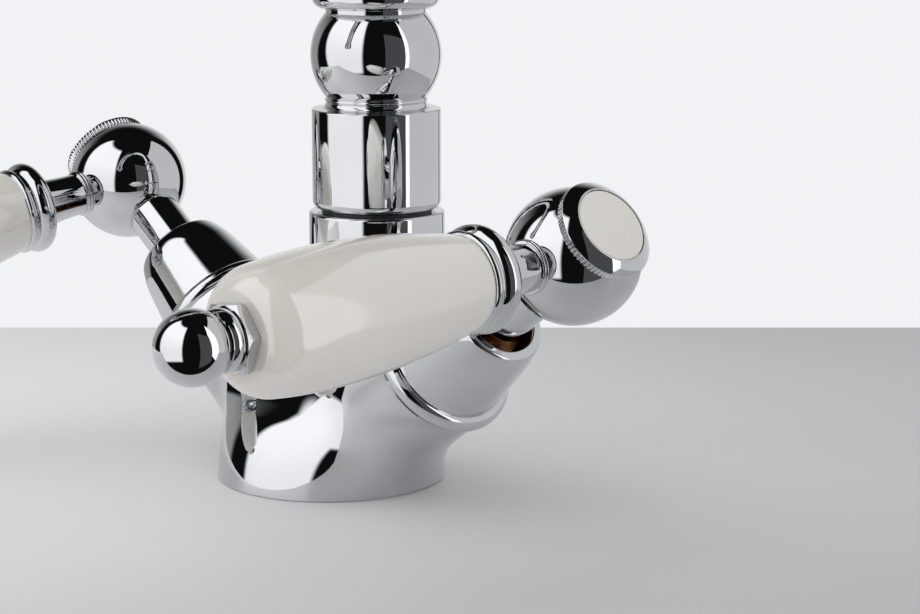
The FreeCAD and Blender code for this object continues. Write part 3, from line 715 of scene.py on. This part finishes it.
def cap_surface():
    """Cap with a ring of round teeth under a plain cone.

    The teeth are cut by a depth times 1 less the size of a sine of the angle.
    """
    outer, rim, seat, tooth = 10.35, 8.0, 7.7, 0.38
    knurl = np.array([[outer - 0.15, BALL_TOP], [outer, BALL_TOP + 0.15], [outer, BALL_TOP + 1.6]])
    plain = np.array([
        [outer, BALL_TOP + 1.6], [outer, BALL_TOP + 1.76], [outer - 0.05, BALL_TOP + 1.84],
        [rim, CAP_TOP - 0.035], [rim - 0.07, CAP_TOP], [seat + 0.02, CAP_TOP], [seat, CAP_TOP - 0.02],
        [seat, DISC_SEAT], [0, DISC_SEAT]])
    rows = np.vstack([[[0, BALL_TOP]], knurl, plain])
    row = np.arange(len(rows))
    depth = np.where((row > 0) & (row <= len(knurl)), tooth, 0.0)
    turn = full_turn(CAP_TEETH * 10)
    wave = 1 - np.abs(np.sin(CAP_TEETH / 2 * turn))
    return around(rows[:, :1] - depth[:, None] * wave, rows[:, 1:], turn), grid_quads(len(rows), len(turn))


def lever_neck_profile():
    """Two small beads against the ball and a stem that flares along one arc."""
    bead, waist, swell, tenon = 0.38, 4.8, 0.8, 0.4
    start = LEVER_FLAT + 4 * bead
    rise = np.linspace(0, FERRULE_START - start, 24)
    flare = (rise[-1]**2 + swell**2) / (2 * swell)
    stem = np.column_stack([waist + flare - np.sqrt(flare**2 - rise**2), start + rise])
    beads = [arc((waist + 0.2, LEVER_FLAT + k * bead), bead, -72, 72, 16) for k in (1, 3)]
    return outline(
        (0, LEVER_FLAT - 0.6), (waist, LEVER_FLAT - 0.6), (waist + 0.15, LEVER_FLAT), *beads, stem,
        (waist + swell, FERRULE_START + tenon), (0, FERRULE_START + tenon))


def ferrule_profile():
    """Big bead, a narrow valley and a small bead before the porcelain."""
    big, small, valley = 2.5, 0.75, 9.1
    return outline(
        (0, FERRULE_START), (7.8, FERRULE_START), arc((7.95, FERRULE_START + big), big, -88, 62, 44),
        (valley, FERRULE_START + 5.1, 0.15), arc((9.05, FERRULE_START + 6.15), small, -80, 80, 24),
        (valley, GRIP_START), (0, GRIP_START))


def grip_profile():
    """Porcelain barrel: one slow swell, a slower taper and a rounded end, each tangent to the next."""
    thick, start, end = 12.85, 9.2, 8.2
    crest, shoulder = 34.4, 49.1
    growth, loss = thick - start, 0.95
    swell = (crest**2 + growth**2) / (2 * growth)
    taper = ((shoulder - crest)**2 + loss**2) / (2 * loss)
    rise = np.linspace(0, crest, 60)
    fall = np.linspace(crest, shoulder, 30)[1:]
    first = np.column_stack([thick - swell + np.sqrt(swell**2 - (crest - rise)**2), GRIP_START + rise])
    second = np.column_stack([thick - taper + np.sqrt(taper**2 - (fall - crest)**2), GRIP_START + fall])
    slope = math.degrees(math.asin((shoulder - crest) / taper))
    chord = np.array([end - second[-1, 0], GRIP_END - GRIP_START - shoulder])
    inward = -np.array([math.cos(math.radians(slope)), math.sin(math.radians(slope))])
    radius = (chord @ chord) / (2 * (chord @ inward))
    centre = second[-1] + inward * radius
    stop = math.degrees(math.atan2(GRIP_END - centre[1], end - centre[0]))
    return outline((0, GRIP_START), (start, GRIP_START, 0.15), np.vstack([first[1:], second]),
                   arc(centre, radius, slope, stop, 24)[1:], (0, GRIP_END))


def nut_surface():
    """Hexagon nut: at each angle and height the smaller of the hexagon's and the chamfer cone's radius."""
    flat, start, slope, edge = 6.0, 6.05, 1.6, 0.7
    thick = NUT_END - GRIP_END
    turn = full_turn(360)
    hexagon = flat / np.cos(turn % (math.pi / 3) - math.pi / 6)
    lower = np.linspace(0, edge, 15)
    between = np.linspace(edge + 0.05, thick - edge - 0.05, 5)
    upper = np.linspace(thick - edge, thick, 15)
    height = np.concatenate([lower, between, upper])
    cone = start + slope * np.minimum(height, thick - height)
    ends = np.zeros((1, len(turn)))
    radius = np.concatenate([ends, np.minimum(hexagon, cone[:, None]), ends])
    level = np.concatenate([height[:1], height, height[-1:]])[:, None] + GRIP_END
    points = around(radius, level, turn)
    return points, grid_quads(len(level), len(turn), False)


def finial_profile():
    """Ball on a barrel-shaped ring."""
    ball, neck, ring, width, crown, gap = 6.725, 4.75, 5.75, 2.4, 0.3, 0.06
    bend = (width**2 / 4 + crown**2) / (2 * crown)
    half = math.degrees(math.asin(width / 2 / bend))
    low = -math.degrees(math.acos(neck / ball))
    barrel = arc((ring - bend, NUT_END + gap + width / 2), bend, -half, half, 24)
    return outline(
        (0, NUT_END), (ring - crown - 0.1, NUT_END), barrel, (neck, NUT_END + 2 * gap + width),
        arc((0, FINIAL_CENTRE), ball, low, 90, 80))


for temperature, side in SIDES.items():
    valve, lever = on_valve(side), on_lever(side)
    lever_body = temperature + "_lever"
    start = temperature + "_"
    cover = turned_piece(start + "valve_cover", cover_profile(), valve, chrome, "mixer", count=FINE_STEPS)
    add_finish(cover.data, brass, bore_faces(cover.data, valve))
    turned_piece(start + "shank", shank_profile(), valve, chrome, lever_body)
    turned_piece(start + "ball_hub", ball_profile(), valve, chrome, lever_body, count=FINE_STEPS)
    formed_piece(start + "index_cap", "_knurled", cap_surface(), valve, chrome, lever_body)
    turned_piece(start + "index_disc", disc_profile(), valve, porcelain, lever_body)
    turned_piece(start + "lever_neck", lever_neck_profile(), lever, chrome, lever_body)
    turned_piece(start + "ferrule", ferrule_profile(), lever, chrome, lever_body, count=FINE_STEPS)
    turned_piece(start + "grip", grip_profile(), lever, porcelain, lever_body, FINE_STEPS)
    formed_piece(start + "end_nut", "_hexagon", nut_surface(), lever, chrome, lever_body)
    turned_piece(start + "finial", finial_profile(), lever, chrome, lever_body, count=FINE_STEPS)


# Spout

def column_profile():
    """Cylinder with a coved shoulder, neck bead and truncated ball."""
    outer, shelf, waist, bulb, waterway = 14.1, 12.2, 10.9, 14.25, 6.5
    lift, cove, bead = 0.15, 1.15, 0.45
    shoulder, socket = COLUMN_BOTTOM + 21.9, COLUMN_BOTTOM + 14.4
    half = math.degrees(math.acos(waist / bulb))
    return outline(
        (COLUMN_BORE, COLUMN_BOTTOM, 0.3), (outer, COLUMN_BOTTOM, 1.8), (outer, shoulder, 0.35),
        (shelf, shoulder + lift), arc((shelf, shoulder + lift + cove), cove, 270, 180, 12),
        (waist, shoulder + 1.5), arc((10.75, shoulder + 1.95), bead, -70, 70, 10),
        (waist, BULB_BOTTOM, 0.1), arc((0, BULB_BOTTOM + 9.2), bulb, -half, half, 100),
        (waist, COLUMN_TOP), (waterway, COLUMN_TOP), (waterway, socket), (COLUMN_BORE, socket))


def ring_profile():
    """Half-round bead."""
    bead = 2.3
    return outline((TUBE_SEAT, COLUMN_TOP), arc((11.5, COLUMN_TOP + bead), bead, -90, 90, 36),
                   (TUBE_SEAT, COLUMN_TOP + 2 * bead, 0.2))


def spout_tube():
    """Swan neck: a ring carried up a straight leg, round a half circle and down a short drop.

    The ring shrinks to a point at both ends, which closes them.
    """
    hold = 0.5
    bend = np.linspace(0, math.pi, 121)
    leg = np.array([COLUMN_TOP, COLUMN_TOP, COLUMN_TOP + hold, ARCH_LEVEL - hold])
    drop = np.array([ARCH_LEVEL - hold, TUBE_END + hold, TUBE_END, TUBE_END])
    y = np.concatenate([0 * leg, ARCH_RADIUS * (np.cos(bend) - 1), 0 * drop - 2 * ARCH_RADIUS])[:, None]
    z = np.concatenate([leg, ARCH_LEVEL + ARCH_RADIUS * np.sin(bend), drop])[:, None]
    lean = np.concatenate([0 * leg, bend, 0 * drop + math.pi])[:, None]
    radius = np.full(y.shape, TUBE_RADIUS)
    radius[[0, -1]] = 0
    turn = full_turn(96)
    across, along = radius * np.cos(turn), radius * np.sin(turn)
    points = np.stack([across, y + along * np.cos(lean), z + along * np.sin(lean)], axis=-1)
    return points.reshape(-1, 3), grid_quads(len(y), len(turn), False)


def aerator_profile():
    """Screw-on housing with a rounded top edge, a groove and an inner lip."""
    outer, groove, lip = 11.5, 11.15, 8.35
    top, bottom = TUBE_END + 6.0, TUBE_END - 6.0
    return outline(
        (lip, bottom, 0.2), (outer, bottom, 0.7), (outer, bottom + 2.4, 0.2), (groove, bottom + 2.7, 0.1),
        (groove, bottom + 3.1, 0.1), (outer, bottom + 3.4, 0.2), (outer, top, 0.8), (TUBE_SEAT, top, 0.2),
        (TUBE_SEAT, bottom + 1.2), (lip, bottom + 1.2, 0.2))


turned_piece("spout_column", column_profile(), on_column, chrome, "spout", count=FINE_STEPS)
turned_piece("spout_ring", ring_profile(), on_column, chrome, "spout", count=FINE_STEPS)
formed_piece("spout_tube", "_bent", spout_tube(), on_column, chrome, "spout")
turned_piece("aerator_housing", aerator_profile(), on_outlet, chrome, "spout")


# Studio

VIEW_TURN = math.radians(46.688)
VIEW_RISE = math.radians(10.957)
VIEW_RIGHT = 28.26
VIEW_UP = 36.45
VIEW_DISTANCE = 541.6
IMAGE_WIDTH = 920
FOCAL_PIXELS = 2459.8
SENSOR_WIDTH = 36.0

UPRIGHT = np.array([0, 0, 1.0])
right = np.array([math.cos(VIEW_TURN), math.sin(VIEW_TURN), 0])
ahead = np.array([-math.sin(VIEW_TURN), math.cos(VIEW_TURN), 0])


def plan(across, along, height):
    """Point of the studio in millimetres: across the view, along the view, height."""
    return right * across + ahead * along + UPRIGHT * height


def set_up(name, data, across, back, spot):
    """Camera or lamp at a spot in millimetres: X runs across, Z back from what it points at."""
    item = bpy.data.objects.new(name, data)
    bpy.context.scene.collection.objects.link(item)
    place = np.eye(4)
    place[:3] = np.column_stack([across, np.cross(back, across), back, spot * MM])
    item.matrix_world = Matrix(place.tolist())
    return item


def stage_piece(name, points, quads, finish, glossy_only=True):
    """Piece of the studio; one that is glossy only shows in the metal and nowhere else."""
    mesh = make_mesh(name, np.asarray(points, float), np.asarray(quads))
    mesh.materials.append(finish)
    piece = bpy.data.objects.new(name, mesh)
    bpy.context.scene.collection.objects.link(piece)
    if glossy_only:
        piece.visible_camera = False
        piece.visible_diffuse = False
        piece.visible_shadow = False


def table_finish():
    """Pale grey laminate: close tones, with painted shade that darkens it to the right in place of the
    left lamp's falloff, a satin gloss and a very fine tooth.
    """
    material, tree, where = new_finish("pale_table")
    cloud = tree.noise(where, 9.0, 3.0)
    tooth = tree.noise(where, 900.0, 3.0)
    pale = tree.blend(cloud, (0.71, 0.715, 0.72, 1), (0.77, 0.77, 0.77, 1))
    # Painted shade: the laminate turns darker towards the right, standing in for the left lamp's light
    # falling off across the table.
    colour = tree.blend(tree.step(tree.along(where, right), -0.06, 0.14), pale, (0.62, 0.625, 0.63, 1))
    tree.surface(Base_Color=colour, Roughness=0.42 + 0.1 * tooth, Specular_IOR_Level=0.3,
                 Normal=tree.bump(tooth, 0.00004))
    return material


def card_finish(name, colour, strength):
    """Even glow of a reflector card."""
    material = bpy.data.materials.new(name)
    Tree(material).shine(colour, strength)
    material.cycles.emission_sampling = "NONE"
    return material


def dome_finish():
    """Studio seen in the metal: dark room, a large white panel on the left and a pale wall behind the tap.

    Each is a product of soft steps of the direction's azimuth and elevation, in degrees.
    """
    material, tree, where = new_finish("studio_dome")
    degrees = 180 / math.pi
    direction = tree.node("VectorMath", {"operation": "NORMALIZE"}, {0: where})
    sides = {0: tree.along(direction, right), 1: tree.along(direction, ahead)}
    azimuth = tree.node("Math", {"operation": "ARCTAN2"}, sides) * degrees
    elevation = tree.node("Math", {"operation": "ARCSINE"}, {0: tree.along(direction, UPRIGHT)}) * degrees

    rise = tree.step

    def fall(value, low, high):
        return 1 - rise(value, low, high)

    softbox = rise(azimuth, -161, -155) * fall(azimuth - 0.25 * elevation, -88, -82)
    softbox = softbox * rise(elevation, -29, -23) * fall(elevation, 64, 70)
    softbox = softbox * (1.15 + 0.22 * rise(elevation, -10, 40))
    wall = rise(azimuth, -62, -54) * fall(azimuth, 24, 31) * rise(elevation, -33, -27)
    wall = wall * fall(elevation, 8, 46) * (0.36 + 0.42 * rise(azimuth, -40, 0))
    light = 0.006 + softbox + wall
    colour = tree.node("CombineColor", None, {"Red": 0.98 * light, "Green": 0.985 * light, "Blue": light})
    tree.shine(colour, 1.0)
    material.cycles.emission_sampling = "NONE"
    return material


def add_table():
    """Table top: a thin slab with its edges square to the view."""
    left, far_right, front, rear, thick = -340, 320, -142, 161, 18
    corners = [(left, front), (far_right, front), (far_right, rear), (left, rear)]
    points = [plan(across, along, height) for height in (0, -thick) for across, along in corners]
    quads = [(0, 1, 2, 3), (7, 6, 5, 4), (0, 4, 5, 1), (1, 5, 6, 2), (2, 6, 7, 3), (3, 7, 4, 0)]
    stage_piece("table", points, quads, table_finish(), False)


def add_dome():
    """Ball round the studio: (cos b cos a, cos b sin a, sin b) times its radius."""
    radius, rows, columns = 3000, 33, 64
    height = np.linspace(-math.pi / 2, math.pi / 2, rows)[:, None]
    points = around(np.cos(height), np.sin(height), full_turn(columns)) * radius
    stage_piece("studio_dome", points, grid_quads(rows, columns, False), dome_finish())


def add_card(name, first, last, low, high, colour, strength):
    """Upright card between two points of the plan."""
    corners = [plan(*first, low), plan(*last, low), plan(*last, high), plan(*first, high)]
    stage_piece(name, corners, [(0, 1, 2, 3)], card_finish(name, colour, strength))


def add_world():
    """Even light of one colour, and another colour where the camera, metal and glass see it."""
    world = bpy.data.worlds.new("studio")
    bpy.context.scene.world = world
    tree = Tree(world)
    seen = 0
    for kind in ("Is Camera Ray", "Is Glossy Ray", "Is Transmission Ray"):
        seen = seen + tree.node("LightPath", out=kind)
    share = tree.node("Math", {"operation": "MINIMUM"}, {0: seen, 1: 1.0})
    colour = tree.blend(share, (0.79, 0.795, 0.81, 1), (0.88, 0.89, 0.91, 1))
    sky = tree.node("Background", None, {"Color": colour, "Strength": 1.0})
    tree.node("OutputWorld", None, {"Surface": sky})


def add_camera():
    """Camera at the view's distance from the foot, moved a little right and up in the view."""
    back = UPRIGHT * math.sin(VIEW_RISE) - ahead * math.cos(VIEW_RISE)
    up = np.cross(back, right)
    spot = VIEW_RIGHT * right + VIEW_UP * up + VIEW_DISTANCE * back
    camera = set_up("camera", bpy.data.cameras.new("camera"), right, back, spot)
    camera.data.sensor_width = SENSOR_WIDTH
    camera.data.lens = FOCAL_PIXELS * SENSOR_WIDTH / IMAGE_WIDTH
    camera.data.clip_start = 0.01
    bpy.context.scene.camera = camera


def add_lamp():
    """Square lamp on the left that points at the foot."""
    spot = plan(-380, 120, 300)
    back = spot / np.linalg.norm(spot)
    across = np.cross(UPRIGHT, back)
    across = across / np.linalg.norm(across)
    lamp = set_up("softbox", bpy.data.lights.new("softbox", "AREA"), across, back, spot)
    lamp.data.shape = "SQUARE"
    lamp.data.size = 0.8
    lamp.data.energy = 1.5
    lamp.visible_camera = False
    lamp.visible_glossy = False


add_camera()
add_table()
add_dome()
add_card("grey_card", (157, 219), (262, -130), -120, 420, (0.97, 0.985, 1.0, 1), 0.70)
add_card("white_card", (262, -130), (555, -378), -120, 560, (1, 1, 1, 1), 1.55)
add_card("violet_card", (555, -378), (141, -394), -300, 430, (0.93, 0.92, 1.0, 1), 0.09)
add_world()
add_lamp()

bpy.context.scene.view_settings.view_transform = "Standard"
